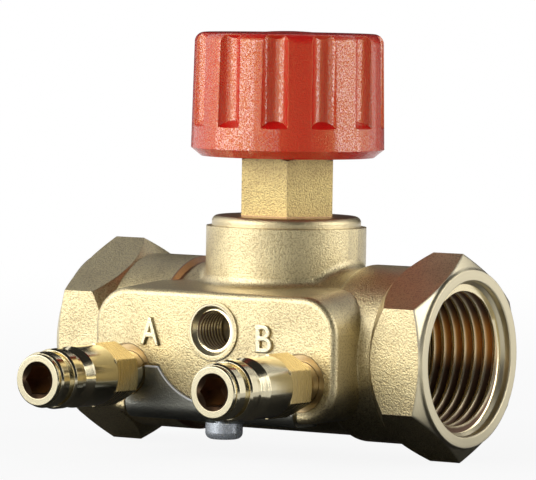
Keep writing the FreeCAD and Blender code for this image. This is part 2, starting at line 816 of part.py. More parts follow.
def poppet_ring_major():
    return poppet_step_radius + running + poppet_ring_section


def poppet_ring_station():
    """Where the ring on the plunger just clears the bevelled seat inside the nipple."""
    reach = nipple_bore_radius + valve_seat_station - poppet_ring_major()
    return reach - math.sqrt(2) * (poppet_ring_section + poppet_ring_gap)


def poppet_back():
    """Station of the plunger's back face, on which the spring presses."""
    return poppet_ring_station() + poppet_ring_section + running - poppet_length


def poppet():
    """Plunger: head with a step for its ring, pin towards the socket and spigot for the spring."""
    back = poppet_back()
    top = back + poppet_length
    step = top - 2 * (poppet_ring_section + running)
    profile = [
        (0, back - poppet_spigot_length), (poppet_spigot_radius, back - poppet_spigot_length),
        (poppet_spigot_radius, back), (poppet_radius, back), (poppet_radius, step),
        (poppet_step_radius, step), (poppet_step_radius, top),
        (poppet_pin_radius, top), (poppet_pin_radius, top + poppet_pin_reach),
        (0, top + poppet_pin_reach),
    ]
    return turned(profile, V(0, 0, 0))


def poppet_ring():
    return ring(poppet_ring_major(), poppet_ring_section, poppet_ring_station(), V(0, 0, 0))


def spring_stop():
    foot = -port_depth + seal_thickness
    return tube(nipple_bore_radius, stop_hole_radius, foot, foot + stop_length, V(0, 0, 0))


def poppet_spring():
    """Coil spring between the stop and the plunger's head."""
    start = -port_depth + seal_thickness + stop_length + spring_end_gap + spring_wire
    end = poppet_back() - spring_end_gap - spring_wire
    mean = (poppet_spigot_radius + nipple_bore_radius) / 2
    helix = Part.makeHelix((end - start) / spring_turns, end - start, mean)
    section = Part.Wire(Part.makeCircle(spring_wire, V(mean, 0, 0), Y_AXIS))
    coil = Part.Wire(helix.Edges).makePipeShell([section], True, True)
    coil.translate(V(0, 0, start))
    return coil


# Cover plate and its screw

def cover_plate():
    """Sheet bent round the boss's lower front edge, with an arc cut out round the port."""
    inner_y = recess_floor + plate_clearance
    outer_y = inner_y + plate_thickness
    inner_z = boss_bottom - plate_clearance
    outer_z = plate_underside
    inner_r = plate_corner + plate_clearance
    outer_r = inner_r + plate_thickness
    cy = outer_y - outer_r
    cz = outer_z + outer_r
    edges = []
    for radius, y, z in ((outer_r, outer_y, outer_z), (inner_r, inner_y, inner_z)):
        turn = radius * math.sqrt(0.5)
        edges.append(Part.Arc(V(0, -y, cz), V(0, -cy - turn, cz - turn), V(0, -cy, z)).toShape())
    edges += Part.makePolygon([V(0, -cy, outer_z), V(0, -plate_back, outer_z),
                               V(0, -plate_back, inner_z), V(0, -cy, inner_z)]).Edges
    edges += Part.makePolygon([V(0, -inner_y, cz), V(0, -inner_y, plate_top),
                               V(0, -outer_y, plate_top), V(0, -outer_y, cz)]).Edges
    outline = Part.Wire(Part.__sortEdges__(edges))
    sheet = Part.Face(outline).extrude(V(2 * plate_half_width, 0, 0))
    sheet.translate(V(plate_left, 0, 0))
    corners = [e for e in sheet.Edges if abs(e.CenterOfMass.y + plate_back) < 1e-6
               and e.BoundBox.ZLength > plate_thickness / 2]
    sheet = sheet.makeFillet(plate_back_corner, corners)
    start = -inner_y + plate_thickness
    reach = 3 * plate_thickness
    front = V(0, -1, 0)
    cutters = [Part.makeCylinder(plate_arc_radius, reach, V(mid + plate_shift, start, port_z), front)]
    for side in (-1, 1):
        at = V(mid + side * nipple_x, start, nipple_z)
        cutters.append(Part.makeCylinder(port_thread_radius + plate_nipple_gap, reach, at, front))
    at = V(mid, -plate_screw_y, 0)
    cutters.append(rod(plate_screw_radius + plate_screw_gap, outer_z, inner_z + plate_thickness, at))
    for piece in cutters:
        sheet = sheet.cut(piece)
    return sheet.removeSplitter()


def plate_screw():
    """Pan head screw with a cross slot, from below into the boss."""
    at = V(mid, -plate_screw_y, 0)
    low = plate_underside - plate_screw_head
    head = rod(plate_screw_head_radius, low, plate_underside, at)
    rim = [e for e in head.Edges if abs(e.BoundBox.ZMax - low) < 1e-6]
    head = head.makeFillet(plate_screw_round, rim)
    solid = head.fuse(rod(plate_screw_radius - thread_clearance, plate_underside,
                          boss_bottom + plate_screw_length, at))
    for dx, dy in ((cross_length, cross_width), (cross_width, cross_length)):
        corner = V(mid - dx / 2, -plate_screw_y - dy / 2, low)
        solid = solid.cut(Part.makeBox(dx, dy, cross_depth, corner))
    return solid.removeSplitter()


# Every piece under its name

def all_pieces():
    pieces = {
        "valve_body": valve_body(),
        "headpiece": headpiece(),
        "headpiece_seal": headpiece_seal(),
        "spindle": spindle(),
        "spindle_ring_lower": spindle_ring(ring_lower_z),
        "spindle_ring_upper": spindle_ring(ring_lower_z + ring_spacing),
        "valve_cone": valve_cone(),
        "cone_washer": cone_washer(),
        "cone_nut": cone_nut(),
        "cone_clip": cone_clip(),
        "knob": knob(),
        "knob_screw": knob_screw(),
        "knob_cap": knob_cap(),
        "cover_plate": cover_plate(),
        "plate_screw": plate_screw(),
    }
    in_each_nipple = {
        "nipple": nipple(),
        "nipple_seal": nipple_seal(),
        "poppet": poppet(),
        "poppet_ring": poppet_ring(),
        "poppet_spring": poppet_spring(),
        "spring_stop": spring_stop(),
    }
    for letter, side in (("a", -1), ("b", 1)):
        for name, shape in in_each_nipple.items():
            pieces[name + "_" + letter] = facing_front(shape, side * nipple_x, nipple_z)
    return pieces


def main():
    os.makedirs("parts", exist_ok=True)
    for name, shape in all_pieces().items():
        report = (name, len(shape.Solids), shape.isValid(), shape.Volume)
        print("%-20s solids %d valid %s volume %.1f" % report)
        shape.Solids[0].exportStep(os.path.join("parts", name + ".step"))


main()
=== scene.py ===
# %% [markdown]
# # A forged brass shut-off valve with two test nipples
# The metal and plastic parts come from the construction model as a fixed frame. This lesson adds
# what a photograph shows beyond them: the pipe threads, the raised port letters, the finishes, the
# light and the camera. Everything is in metres, the pipe runs along X, the ports look towards -Y
# and the red handwheel is on top.

# %% Load the frame
import json
import math
import bpy
from mathutils import Matrix, Vector


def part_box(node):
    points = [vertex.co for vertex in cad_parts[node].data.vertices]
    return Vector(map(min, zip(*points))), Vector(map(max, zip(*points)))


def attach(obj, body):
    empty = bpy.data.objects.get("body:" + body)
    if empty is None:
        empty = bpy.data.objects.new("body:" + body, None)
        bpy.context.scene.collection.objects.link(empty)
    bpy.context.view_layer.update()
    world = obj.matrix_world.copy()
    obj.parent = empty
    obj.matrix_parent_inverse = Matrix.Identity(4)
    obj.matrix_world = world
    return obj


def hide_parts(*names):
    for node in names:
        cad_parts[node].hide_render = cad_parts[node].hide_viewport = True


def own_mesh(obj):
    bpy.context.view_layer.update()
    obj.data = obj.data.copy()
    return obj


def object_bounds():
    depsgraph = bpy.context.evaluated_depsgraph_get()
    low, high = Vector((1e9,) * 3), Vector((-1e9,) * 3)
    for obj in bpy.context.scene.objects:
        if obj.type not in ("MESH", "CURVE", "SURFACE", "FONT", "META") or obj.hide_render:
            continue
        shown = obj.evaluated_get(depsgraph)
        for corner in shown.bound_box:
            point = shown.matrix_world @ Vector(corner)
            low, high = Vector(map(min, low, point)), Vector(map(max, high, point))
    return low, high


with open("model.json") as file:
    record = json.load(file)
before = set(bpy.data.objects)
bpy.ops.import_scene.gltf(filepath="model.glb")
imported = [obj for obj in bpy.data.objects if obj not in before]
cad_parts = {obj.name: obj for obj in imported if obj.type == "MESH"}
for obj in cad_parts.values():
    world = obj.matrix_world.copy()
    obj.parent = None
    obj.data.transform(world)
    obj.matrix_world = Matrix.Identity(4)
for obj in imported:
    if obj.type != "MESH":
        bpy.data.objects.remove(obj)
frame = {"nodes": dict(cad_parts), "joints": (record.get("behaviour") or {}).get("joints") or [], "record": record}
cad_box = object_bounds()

print("nodes in the frame:", len(frame["nodes"]))

# %% [markdown]
# ## Landmarks
# Later cells need to know where the axes and faces are. The frame's record names the pipe ends, the
# impulse port and the nipples with their places, so the numbers are read there once. If the
# construction changes, the scene follows. Pieces are placed in metres, while the finishes count in
# millimetres, so the landmarks that they share come in both.

# %% Landmarks from the record
mm = 0.001
mounts = {mount["name"]: mount for mount in frame["record"]["mounts"]}
inlet = Vector(mounts["inlet_port"]["pos_m"])
outlet = Vector(mounts["outlet_port"]["pos_m"])
impulse = Vector(mounts["impulse_port"]["pos_m"])
nipple = Vector(mounts["nipple_b"]["pos_m"])
pipe_radius = mounts["inlet_port"]["dims"]["r_mm"] * mm
pipe_depth = mounts["inlet_port"]["dims"]["length_mm"] * mm
port_radius = mounts["impulse_port"]["dims"]["r_mm"] * mm
port_depth = mounts["impulse_port"]["dims"]["length_mm"] * mm

middle = (inlet + outlet) / 2
body_low, body_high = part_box("valve_body")
half_length = (body_high.x - body_low.x) / 2
port_ring_height = 0.35 * mm
boss_face = body_low.y + port_ring_height
floor_height = cad_box[0][2]

middle_mm = middle.x / mm
boss_face_mm = boss_face / mm
nipple_offset_mm = (nipple.x - middle.x) / mm
print("middle of the pipe at", tuple(round(v / mm, 2) for v in middle), "mm")
print("boss face at", round(boss_face_mm, 2), "mm")

# %% [markdown]
# ## A clean selection
# Operators act on all that is selected, and the frame's nodes are still selected after loading.
# Each new piece therefore starts from an empty selection. A finished piece has its place in its
# mesh, so its object sits at the origin, and it rides on the valve's body.

# %% Helpers for a new piece
def start_piece():
    """Leave edit mode and select nothing."""
    if bpy.context.object and bpy.context.object.mode != "OBJECT":
        bpy.ops.object.mode_set(mode="OBJECT")
    bpy.ops.object.select_all(action="DESELECT")


def pick_piece(piece):
    """Select this piece alone."""
    start_piece()
    piece.select_set(True)
    bpy.context.view_layer.objects.active = piece


def place_piece(piece, place, turn):
    pick_piece(piece)
    piece.location = place
    piece.rotation_euler = turn


def settle_piece(piece, name):
    """Put the selected piece's place into its mesh, and hand it in under a name."""
    piece.name = piece.data.name = name
    bpy.ops.object.transform_apply(location=True, rotation=True, scale=True)
    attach(piece, "valve")
    print(name, "has", len(piece.data.polygons), "faces")


start_piece()
print("selected before the first piece:", len(bpy.context.selected_objects))

# %% [markdown]
# ## Thread ridges
# Both pipe ends have a female pipe thread: a ridge that winds along the bore with a pitch of about
# 2.1 mm, counted at its bright crests. It could be cut with a boolean or drawn as separate rings,
# but rings don't climb. Here one tooth is drawn as a flat face, its crest is narrowed and rounded,
# and only its outline is kept, for a Screw modifier to wind up.

# %% Draw one tooth
quarter_turn = math.pi / 2
root_width = 0.94  # of the pitch
crest_width = 0.2  # of the root's width
crest_rounding = 0.05  # of the pitch


def pick_points(piece, test):
    """Select the points that pass the test, and the edges and faces between them."""
    bpy.ops.object.mode_set(mode="OBJECT")
    for point in piece.data.vertices:
        point.select = test(point.co)
    for part in (*piece.data.edges, *piece.data.polygons):
        part.select = all(piece.data.vertices[i].select for i in part.vertices)
    bpy.ops.object.mode_set(mode="EDIT")


def drawn_tooth(root_radius, crest_radius, pitch):
    """The outline of one tooth, one pitch before the thread's first plane."""
    start_piece()
    height = root_radius - crest_radius
    centre = ((root_radius + crest_radius) / 2, 0, -pitch)
    bpy.ops.mesh.primitive_plane_add(size=1, location=centre, rotation=(quarter_turn, 0, 0))
    tooth = bpy.context.object
    tooth.scale = (height, root_width * pitch, 1)
    bpy.ops.object.transform_apply(location=True, rotation=True, scale=True)
    pick_points(tooth, lambda co: co.x < crest_radius + height / 2)
    bpy.ops.transform.resize(value=(1, 1, crest_width), center_override=(crest_radius, 0, -pitch))
    bpy.ops.mesh.bevel(offset=crest_rounding * pitch, segments=2, affect="VERTICES")
    bpy.ops.mesh.select_all(action="SELECT")
    bpy.ops.mesh.delete(type="ONLY_FACE")
    bpy.ops.object.mode_set(mode="OBJECT")
    return tooth


print("a crest takes", round(root_width * crest_width, 2), "of the pitch")

# %% [markdown]
# ## Winding
# The Screw modifier winds the tooth up, with a turn more at each end than the thread needs. Two
# bisect cuts then trim the run-outs at the thread's first and last plane, as a tap and a facing
# tool leave them. The cuts are filled, so the ridge is closed.

# %% Wind the tooth along the Z axis
smooth_angle = math.radians(35)
merge_distance = 0.001 * mm
root_overlap = 0.02 * mm  # how far the ridge reaches into the wall of its bore


def wound_thread(root_radius, crest_radius, pitch, depth, steps):
    """A closed ridge that starts at the origin and winds up to the given depth."""
    thread = drawn_tooth(root_radius + root_overlap, crest_radius, pitch)
    screw = thread.modifiers.new("winding", "SCREW")
    screw.axis = "Z"
    screw.screw_offset = pitch
    screw.iterations = math.ceil(depth / pitch) + 2
    screw.steps = screw.render_steps = steps
    screw.use_merge_vertices = False
    bpy.ops.object.modifier_apply(modifier=screw.name)

    bpy.ops.object.mode_set(mode="EDIT")
    for height, keep_above in ((0, True), (depth, False)):
        bpy.ops.mesh.select_all(action="SELECT")
        bpy.ops.mesh.bisect(
            plane_co=(0, 0, height), plane_no=(0, 0, 1),
            clear_inner=keep_above, clear_outer=not keep_above,
        )
    bpy.ops.mesh.select_all(action="SELECT")
    bpy.ops.mesh.remove_doubles(threshold=merge_distance)
    bpy.ops.mesh.fill_holes(sides=0)
    bpy.ops.mesh.delete_loose()
    bpy.ops.mesh.select_all(action="SELECT")
    bpy.ops.mesh.normals_make_consistent(inside=False)
    bpy.ops.object.mode_set(mode="OBJECT")
    bpy.ops.object.shade_smooth_by_angle(angle=smooth_angle)
    return thread


pipe_crest_radius = 12.0 * mm
pipe_pitch = 2.15 * mm
outlet_thread = wound_thread(pipe_radius, pipe_crest_radius, pipe_pitch, pipe_depth, steps=96)
print("pipe thread wound with", round(pipe_depth / pipe_pitch, 1), "turns")

# %% [markdown]
# ## A thread for each end
# The thread is wound once. Side A gets a copy with its own mesh, turned round so that it also
# starts at its mouth. Turning a right-handed thread round leaves it right-handed. A mirrored copy
# would be left-handed.

# %% Pipe threads in both ends
pick_piece(outlet_thread)
bpy.ops.object.duplicate()
inlet_thread = bpy.context.object

place_piece(outlet_thread, outlet, (0, -quarter_turn, 0))
settle_piece(outlet_thread, "outlet_thread")
place_piece(inlet_thread, inlet, (0, quarter_turn, 0))
settle_piece(inlet_thread, "inlet_thread")

# %% [markdown]
# ## The port's thread
# The open port in front has a small thread of its own. The same helper winds it, with a finer pitch
# and fewer steps, because it is seen smaller.

# %% The small thread of the impulse port
port_crest_radius = 3.36 * mm
port_pitch = 0.907 * mm
impulse_thread = wound_thread(port_radius, port_crest_radius, port_pitch, port_depth, steps=64)
place_piece(impulse_thread, impulse, (-quarter_turn, 0, 0))
settle_piece(impulse_thread, "impulse_thread")

# %% [markdown]
# ## Raised port letters
# The forging die leaves two raised letters that tell the ports apart, A and B. They could be
# modelled by hand, but text gives clean strokes: it is thinned and extruded a little, rounded at
# its edges, made a mesh, and only then stood up on the boss face, where its foot sinks in slightly.

# %% Raise a letter from the boss
letter_height = 5.05 * mm
letter_relief = 0.6 * mm
stroke_thinning, stroke_depth, stroke_rounding = -0.006, 0.05, 0.03  # for a text that is 1 high


def raise_letter(sign, name, left, foot, width):
    """A letter whose lower left corner is given from the pipe's middle."""
    start_piece()
    bpy.ops.object.text_add()
    text = bpy.context.object.data
    text.body = sign
    text.offset = stroke_thinning
    text.extrude = stroke_depth
    text.bevel_depth = stroke_rounding
    text.bevel_resolution = 2
    bpy.ops.object.convert(target="MESH")
    letter = bpy.context.object
    low = [min(point.co[i] for point in letter.data.vertices) for i in range(3)]
    high = [max(point.co[i] for point in letter.data.vertices) for i in range(3)]
    letter.data.transform(Matrix.Translation(-Vector(low)))
    wanted = (width, letter_height, 2 * letter_relief)
    letter.scale = [wanted[i] / (high[i] - low[i]) for i in range(3)]
    letter.rotation_euler = (quarter_turn, 0, 0)
    letter.location = (middle.x + left, boss_face + letter_relief, foot)
    settle_piece(letter, name)
    return letter


letter_a = raise_letter("A", "letter_a", left=-15.45 * mm, foot=0.88 * mm, width=4.1 * mm)
letter_b = raise_letter("B", "letter_b", left=9.4 * mm, foot=0.75 * mm, width=3.5 * mm)

# %% [markdown]
# ## Spring stand-ins
# Behind the plunger in each nipple lies a coil spring. A rigid spring would stick through a plunger
# that is pushed in. Its stand-in has the same mesh, but stays with the valve's body. How far it would
# have to give follows from the plunger's travel, and is printed.

# %% Spring stand-ins
joints = {joint["name"]: joint for joint in frame["joints"]}


def squashing_spring(side):
    rigid = frame["nodes"][f"poppet_spring_{side}"]
    push = joints[f"plunger_{side}_push"]
    low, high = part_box(rigid.name)
    travel = push["range_m"][1]
    keep = 1 - travel / (high.y - low.y)
    spring = bpy.data.objects.new(f"squashing_spring_{side}", rigid.data.copy())
    bpy.context.scene.collection.objects.link(spring)
    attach(spring, "valve")
    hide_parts(rigid.name)
    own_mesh(spring)
    print(spring.name, "keeps", round(keep, 2), "of its length")
    return spring


spring_a, spring_b = squashing_spring("a"), squashing_spring("b")

# %% [markdown]
# ## Sums with sockets
# A finish is mostly arithmetic on places: how far a point is from the pipe's axis, how near to an
# end face. With plain nodes that arithmetic is hard to read. The class below wraps a socket, so
# that `(radius - 15) * 0.7` adds its Math nodes by itself.

# %% A value on a surface
class Number:
    """A value that varies over a surface. Sums with it add Math nodes."""

    def __init__(self, finish, socket):
        self.finish = finish
        self.socket = socket

    def out(self, name):
        """Another output of the node that this value comes from."""
        return Number(self.finish, self.socket.node.outputs[name])

    def __add__(self, other):
        return self.finish.math("ADD", self, other)

    def __radd__(self, other):
        return self.finish.math("ADD", other, self)

    def __sub__(self, other):
        return self.finish.math("SUBTRACT", self, other)

    def __rsub__(self, other):
        return self.finish.math("SUBTRACT", other, self)

    def __mul__(self, other):
        return self.finish.math("MULTIPLY", self, other)

    def __rmul__(self, other):
        return self.finish.math("MULTIPLY", other, self)

    def __pow__(self, other):
        return self.finish.math("POWER", self, other)

    def __abs__(self):
        return self.finish.math("ABSOLUTE", self)

    def __or__(self, other):
        """The larger of two masks: where one or the other holds."""
        return self.finish.math("MAXIMUM", self, other)

    def over(self, edge, width=0.1):
        """0 below the edge, 1 above it, and a soft change between them."""
        return self.finish.node(
            "ShaderNodeMapRange", {"interpolation_type": "SMOOTHSTEP"},
            {"Value": self, "From Min": edge - width / 2, "From Max": edge + width / 2},
        )

    def under(self, edge, width=0.1):
        return 1 - self.over(edge, width)

    def spread(self, low, high):
        """The range from low to high stretched to 0 to 1."""
        return self.finish.node(
            "ShaderNodeMapRange", {}, {"Value": self, "From Min": low, "From Max": high}
        )


print("a value on a surface has", sum(callable(step) for step in vars(Number).values()), "methods")

# %% [markdown]
# ## A finish, step by step
# A finish is a node tree. All nodes come from one method that takes the node's type, its settings
# and the values of its sockets, and the methods after it name what a step is for: noise, tool
# marks, rounded edges, relief. The places and the sizes that they take are in millimetres.

# %% The node tree of a finish
MIX_AMOUNT, MIX_FIRST, MIX_SECOND, MIX_RESULT = 0, 6, 7, 2  # sockets of a Mix node for colours


class Finish:
    """A node tree that is filled step by step."""

    def __init__(self, tree):
        self.tree = tree

    def node(self, kind, settings=None, inputs=None, output=0):
        made = self.tree.nodes.new(kind)
        for name, value in (settings or {}).items():
            setattr(made, name, value)
        self.feed(made, inputs or {})
        return Number(self, made.outputs[output])

    def feed(self, made, inputs):
        for name, value in inputs.items():
            if isinstance(value, Number):
                self.tree.links.new(value.socket, made.inputs[name])
            else:
                made.inputs[name].default_value = value

    def math(self, operation, *values):
        return self.node("ShaderNodeMath", {"operation": operation}, dict(enumerate(values)))

    def length(self, a, b):
        return (a * a + b * b) ** 0.5

    def colours(self, first, second, amount, blend="MIX"):
        settings = {"data_type": "RGBA", "blend_type": blend}
        inputs = {MIX_AMOUNT: amount, MIX_FIRST: first, MIX_SECOND: second}
        return self.node("ShaderNodeMix", settings, inputs, MIX_RESULT)

    def shaders(self, first, second, amount):
        return self.node("ShaderNodeMixShader", {}, {0: amount, 1: first, 2: second})

    def place(self):
        """Where a point is on the frame, as a vector."""
        spot = self.node("ShaderNodeTexCoord", output="Object")
        return self.node("ShaderNodeVectorMath", {"operation": "SCALE"}, {0: spot, "Scale": 1 / mm})

    def parts(self, spot):
        """The three numbers of a vector."""
        x = self.node("ShaderNodeSeparateXYZ", {}, {"Vector": spot})
        return x, x.out("Y"), x.out("Z")

    def noise(self, spot, size, detail=2.0, rough=0.5):
        """Cloudy values with lumps of the given size."""
        inputs = {"Vector": spot, "Scale": 1 / size, "Detail": detail, "Roughness": rough}
        return self.node("ShaderNodeTexNoise", {}, inputs)

    def lines(self, across, along, size, detail=3.0):
        """Tool marks: the value changes with one number and hardly with the other."""
        spot = self.node("ShaderNodeCombineXYZ", {}, {"X": across, "Y": along})
        return self.noise(spot, size, detail)

    def rounded(self, radius):
        """The surface's normal with its sharp edges rounded off."""
        return self.node("ShaderNodeBevel", {"samples": 6}, {"Radius": radius * mm})

    def relief(self, height, depth, normal):
        """A bump of the given depth on top of a normal."""
        inputs = {"Height": height, "Distance": depth * mm, "Normal": normal}
        return self.node("ShaderNodeBump", {}, inputs)


print("a finish has", sum(callable(step) for step in vars(Finish).values()), "methods")

# %% [markdown]
# ## Dressing pieces
# A new finish starts from the Principled BSDF. What is the same all over the surface is set on its
# sockets at once, and what varies is fed to them later. A piece wears a finish in its material
# slots. A node of the frame already has one, and a new piece gets its first one here.

# %% New finishes, and pieces that wear them
def new_finish(name, **constants):
    """A finish with its constant sockets set. Underscores stand for spaces in their names."""
    material = bpy.data.materials.new(name)
    material.use_nodes = True
    finish = Finish(material.node_tree)
    finish.material = material
    finish.surface = material.node_tree.nodes["Principled BSDF"]
    finish.feed(finish.surface, {key.replace("_", " "): value for key, value in constants.items()})
    return finish


def dress(finish, *pieces):
    """Give the finish to pieces, and to nodes of the frame by their names."""
    for piece in pieces:
        if isinstance(piece, str):
            piece = frame["nodes"][piece]
        if not piece.material_slots:
            piece.data.materials.append(finish.material)
        for held in piece.material_slots:
            held.material = finish.material
    print(finish.material.name, "has", len(finish.tree.nodes), "nodes, worn by", len(pieces))


print("nodes of the frame that wait for a finish:", len(frame["nodes"]))

# %% [markdown]
# ## Blasted forging brass
# The body is forged hot and then blasted, which leaves a fine dimpled skin, pale gold where light
# falls on it and brownish in the hollows. It could be displaced geometry, but the dimples are much
# finer than any mesh would be, so one noise drives the colour, the roughness and the bump together.

# %% The blasted skin
def forging_skin(finish, spot):
    """Colour, roughness and height of the blasted skin."""
    pale_gold, hollow_brown = (0.74, 0.62, 0.33, 1), (0.36, 0.25, 0.10, 1)
    grain = finish.noise(spot, size=0.3, rough=0.6)
    clouds = finish.noise(spot, size=9.0, detail=3.0, rough=0.55)
    tarnish = clouds.over(0.58, 0.22) * 0.25 + grain.under(0.45, 0.16) * 0.6
    colour = finish.colours(pale_gold, hollow_brown, tarnish)
    rough = 0.30 + 0.10 * clouds + 0.10 * grain
    return colour, rough, grain


finish = new_finish(
    "forged_brass", Metallic=1.0, Coat_Weight=1.0, Coat_Roughness=0.4, Coat_IOR=1.7
)
spot = finish.place()
skin_colour, skin_rough, grain = forging_skin(finish, spot)
print("blasted skin takes", len(finish.tree.nodes), "nodes")

# %% [markdown]
# ## Machined zones
# Some zones of the body are machined after blasting and shine: the end faces with their bevel, the
# bores, the seats of the nipples and the ring of the port. They could be separate materials on
# separate faces, but masks worked out from a point's place put the border exactly where the cutter
# stopped. All sizes here are in millimetres, and the last number of a mask is how soft its edge is.

# %% Masks of the machined zones
x, y, z = finish.parts(spot)
from_middle = abs(x - middle_mm)
from_end = half_length / mm - from_middle
pipe_distance = finish.length(y, z)
nipple_distance = finish.length(from_middle - nipple_offset_mm, z - nipple.z / mm)
port_distance = finish.length(x - middle_mm, z - impulse.z / mm)

bevel_start, bevel_radius, bevel_depth, bevel_slope = 15.7, 16.1, 0.67, 0.488
bevel_plane = (pipe_distance - bevel_radius) * bevel_slope + bevel_depth
end_bevel = pipe_distance.over(bevel_start, 0.1) * (bevel_plane - from_end).over(0, 0.08)
end_face = from_end.under(0.08, 0.05)

bore_radius, bore_start = 14.1, 22.5
bore = pipe_distance.under(bore_radius, 0.1) * from_middle.over(bore_start, 0.5)

boss_depth, seat_radius, ring_radius = 9, 5.2, 4.82
front = y.under(boss_face_mm + boss_depth, 0.5)
nipple_seat = nipple_distance.under(seat_radius, 0.1) * front
port_ring = port_distance.under(ring_radius, 0.1) * front

machined = end_bevel | end_face | bore | nipple_seat | port_ring
print("with the masks there are", len(finish.tree.nodes), "nodes")

# %% [markdown]
# ## The body, put together
# Rings of noise that depend only on the radius make the turning marks. The seats of the nipples are
# painted darker, a painted shade at the nipples' feet, and the wall of the step on side A's barrel is
# painted red-brown, a painted shade. A faint seam on top shows where the two dies met, and the tops of
# the letters are painted a little brighter than the skin around them, a painted highlight. A clear
# coat with a soft shine stands for the dust and oil on top: it pales the highlights, while the hollows
# stay golden.

# %% The body's colour, roughness and relief
turned_bright, turned_dull = (0.82, 0.74, 0.50, 1), (0.60, 0.50, 0.29, 1)
step_shade_brown, seat_shade_brown = (0.36, 0.13, 0.06, 1), (0.56, 0.36, 0.13, 1)
letter_highlight_gold = (0.82, 0.73, 0.48, 1)
rings = finish.lines(pipe_distance + from_end, from_middle * 0.01, size=0.16)
turned_colour = finish.colours(turned_bright, turned_dull, rings)

seam_half_width, seam_bottom = 0.75, 3.0
seam = abs(y).under(seam_half_width, 0.5) * z.over(seam_bottom, 1.0) * (1 - machined)

step_start, step_end, step_low, step_high = 16.5, 18.0, 14.9, 15.95
step = from_middle.over(step_start, 0.3) * from_middle.under(step_end, 0.15)
step = step * pipe_distance.over(step_low, 0.1) * pipe_distance.under(step_high, 0.1)
step = step * x.under(middle_mm, 1)

letter_top = boss_face_mm - 0.42
# Painted shade on the wall of side A's step.
skin_colour = finish.colours(skin_colour, step_shade_brown, step * 0.8)
colour = finish.colours(skin_colour, turned_colour, machined)
# Painted shade at the feet of the nipples.
colour = finish.colours(colour, seat_shade_brown, nipple_seat * 0.75)
# A painted highlight on the tops of the letters.
colour = finish.colours(colour, letter_highlight_gold, y.under(letter_top, 0.05))
height = grain * (1 - machined) * (1 - 0.7 * seam) + rings * machined * 0.08 + seam * 0.15
finish.feed(finish.surface, {
    "Base Color": colour,
    "Roughness": skin_rough * (1 - machined) + (0.27 + 0.12 * rings) * machined,
    "Normal": finish.relief(height, 0.11, finish.rounded(0.25 + 0.45 * end_bevel)),
})
dress(finish, "valve_body", letter_a, letter_b)

# %% [markdown]
# ## Cut threads
# A tap leaves bright crests, but in the grooves between them the brass only sees other brass, so it
# looks a warm orange-brown at half height and nearly black above and below. Both are painted into the
# colour: a painted reflection of brass in the grooves, and painted shade that deepens towards the top
# and the bottom of the bore. The crest is nearer to the axis than the root, and the distance from the
# axis drives the colour, the roughness and how metallic the surface is.

# %% Thread finish
def thread_finish(name, along_pipe, crest, root, groove_painted_light):
    """Bright crests and grooves with painted reflection and painted shade, for a thread of the pipe or of the
    port.
    """
    crest_bright, nearly_black = (0.92, 0.80, 0.52, 1), (0.12, 0.06, 0.03, 1)
    finish = new_finish(name, Metallic=1.0)
    x, y, z = finish.parts(finish.place())
    if along_pipe:
        distance = finish.length(y, z)
        inward = (outlet.x - middle.x) / mm - abs(x - middle_mm)
    else:
        distance = finish.length(x - middle_mm, z - impulse.z / mm)
        inward = y - impulse.y / mm
    depth = distance.spread(crest / mm, root / mm)
    first_plane = inward.under(0.12, 0.06)
    streaks = finish.lines(distance, x * 0.2 + y * 0.2, size=0.3)
    # Painted shade in the grooves, deepest at the root.
    hollow = (depth * 1.5 + streaks * 0.3).spread(0.1, 0.7) * (1 - first_plane)
    # Painted shade towards the top and the bottom of the bore.
    upper_lower_shade = z.under(-1.0, 5.0) | z.over(6.0, 5.0)
    groove_light_and_shade = finish.colours(groove_painted_light, nearly_black, upper_lower_shade)
    finish.feed(finish.surface, {
        "Base Color": finish.colours(crest_bright, groove_light_and_shade, hollow),
        "Roughness": 0.2 + 0.25 * hollow,
        "Metallic": 1 - 0.5 * hollow,
        "Normal": finish.relief(streaks, 0.01, finish.rounded(0.08)),
    })
    return finish


# The first colour is a painted reflection of brass in the pipe threads' grooves, the second painted shade in the
# port's grooves.
orange_brown, dark_brown = (0.78, 0.33, 0.055, 1), (0.14, 0.08, 0.04, 1)
dress(
    thread_finish("pipe_thread_brass", True, pipe_crest_radius, pipe_radius, orange_brown),
    inlet_thread, outlet_thread,
)
dress(
    thread_finish("port_thread_brass", False, port_crest_radius, port_radius, dark_brown),
    impulse_thread,
)

# %% [markdown]
# ## Headpiece
# The headpiece is turned from a hexagon bar that was blasted with the same grit: its flats look
# like the body, while its round flange shows turning rings. The height above the flange tells them
# apart. The flange's top is painted a reddish brown, a painted reflection of the red handwheel.

# %% Headpiece finish
hexagon_height, hexagon_radius = 10.9, 7.2
flange_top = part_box("headpiece")[1].z / mm - hexagon_height
turned_bright, turned_dull = (0.78, 0.67, 0.40, 1), (0.55, 0.42, 0.20, 1)
# The second colour is a painted reflection of the red handwheel.
golden_tint, knob_reflection_red = (0.78, 0.70, 0.46, 1), (0.40, 0.17, 0.07, 1)

finish = new_finish(
    "headpiece_brass", Metallic=1.0, Coat_Weight=1.0, Coat_Roughness=0.4, Coat_IOR=1.55
)
spot = finish.place()
x, y, z = finish.parts(spot)
spindle_distance = finish.length(x - middle_mm, y)
hexagon = z.over(flange_top + 0.15, 0.2) * spindle_distance.over(hexagon_radius, 0.3)
top = z.over(flange_top - 0.1, 0.1) * (1 - hexagon)

skin_colour, skin_rough, grain = forging_skin(finish, spot)
golden_skin = finish.colours(skin_colour, golden_tint, 1.0, "MULTIPLY")
rings = finish.lines(spindle_distance + z, x * 0.01, size=0.22)
turned_colour = finish.colours(turned_bright, turned_dull, rings)
